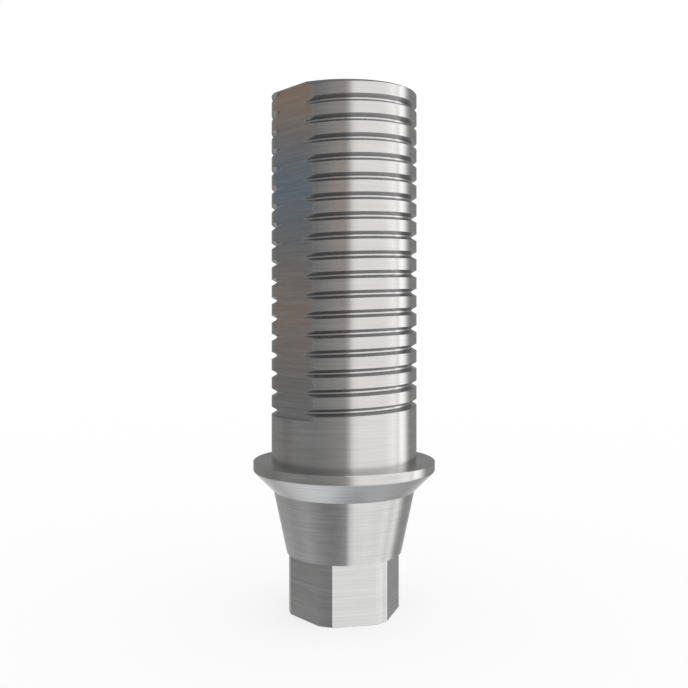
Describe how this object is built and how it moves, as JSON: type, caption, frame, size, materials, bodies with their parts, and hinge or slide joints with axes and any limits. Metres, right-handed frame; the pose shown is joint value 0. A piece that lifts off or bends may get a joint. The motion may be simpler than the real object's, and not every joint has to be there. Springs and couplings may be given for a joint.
{
  "type": "dental abutment",
  "caption": "One-piece titanium dental abutment: grooved cylindrical post with a milled flat, thin flange, tapered collar and hexagon end.",
  "frame": {"origin": "centre of the hexagon's end face", "axes": "+Z along the post, from the hexagon end to the open top end; -Y is the front, the side that the reference view looks at"},
  "size_m": [0.0044, 0.0044, 0.0127],
  "materials": {
    "titanium": "fine-turned titanium alloy, bare"
  },
  "bodies": {
    "root": {"abutment": "titanium"}
  },
  "joints": []
}
